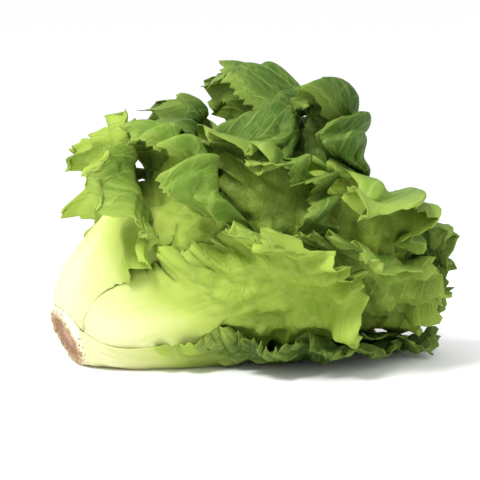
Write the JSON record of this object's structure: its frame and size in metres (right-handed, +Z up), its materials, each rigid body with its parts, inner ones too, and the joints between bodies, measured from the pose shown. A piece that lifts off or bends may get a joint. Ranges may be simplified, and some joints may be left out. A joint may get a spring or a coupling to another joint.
{
  "type": "lettuce head",
  "caption": "Head of green leaf lettuce lying on its side, with ruffled and toothed leaves round a pale cut stem.",
  "frame": {"origin": "on the surface that the head lies on, under the middle of its bounding box", "axes": "+X from the cut stem towards the leaf tips, along the head; +Y across it, away from the side seen in the picture; +Z up"},
  "size_m": [0.2966, 0.2828, 0.2233],
  "materials": {
    "leaf_outer": "satin",
    "leaf_inner": "satin",
    "leaf_heart": "satin",
    "stem_cut": "matte"
  },
  "bodies": {
    "root": {"outer_leaf_01": "leaf_outer", "outer_leaf_02": "leaf_outer", "outer_leaf_03": "leaf_outer", "outer_leaf_04": "leaf_outer", "outer_leaf_05": "leaf_outer", "outer_leaf_06": "leaf_outer", "outer_leaf_07": "leaf_outer", "outer_leaf_08": "leaf_outer", "outer_leaf_09": "leaf_outer", "middle_leaf_01": "leaf_outer", "middle_leaf_02": "leaf_outer", "middle_leaf_03": "leaf_outer", "middle_leaf_04": "leaf_outer", "middle_leaf_05": "leaf_outer", "middle_leaf_06": "leaf_outer", "middle_leaf_07": "leaf_outer", "inner_leaf_01": "leaf_inner", "inner_leaf_02": "leaf_inner", "inner_leaf_03": "leaf_inner", "inner_leaf_04": "leaf_inner", "inner_leaf_05": "leaf_inner", "inner_leaf_06": "leaf_inner", "heart": "leaf_heart", "stem": "stem_cut"}
  },
  "joints": []
}
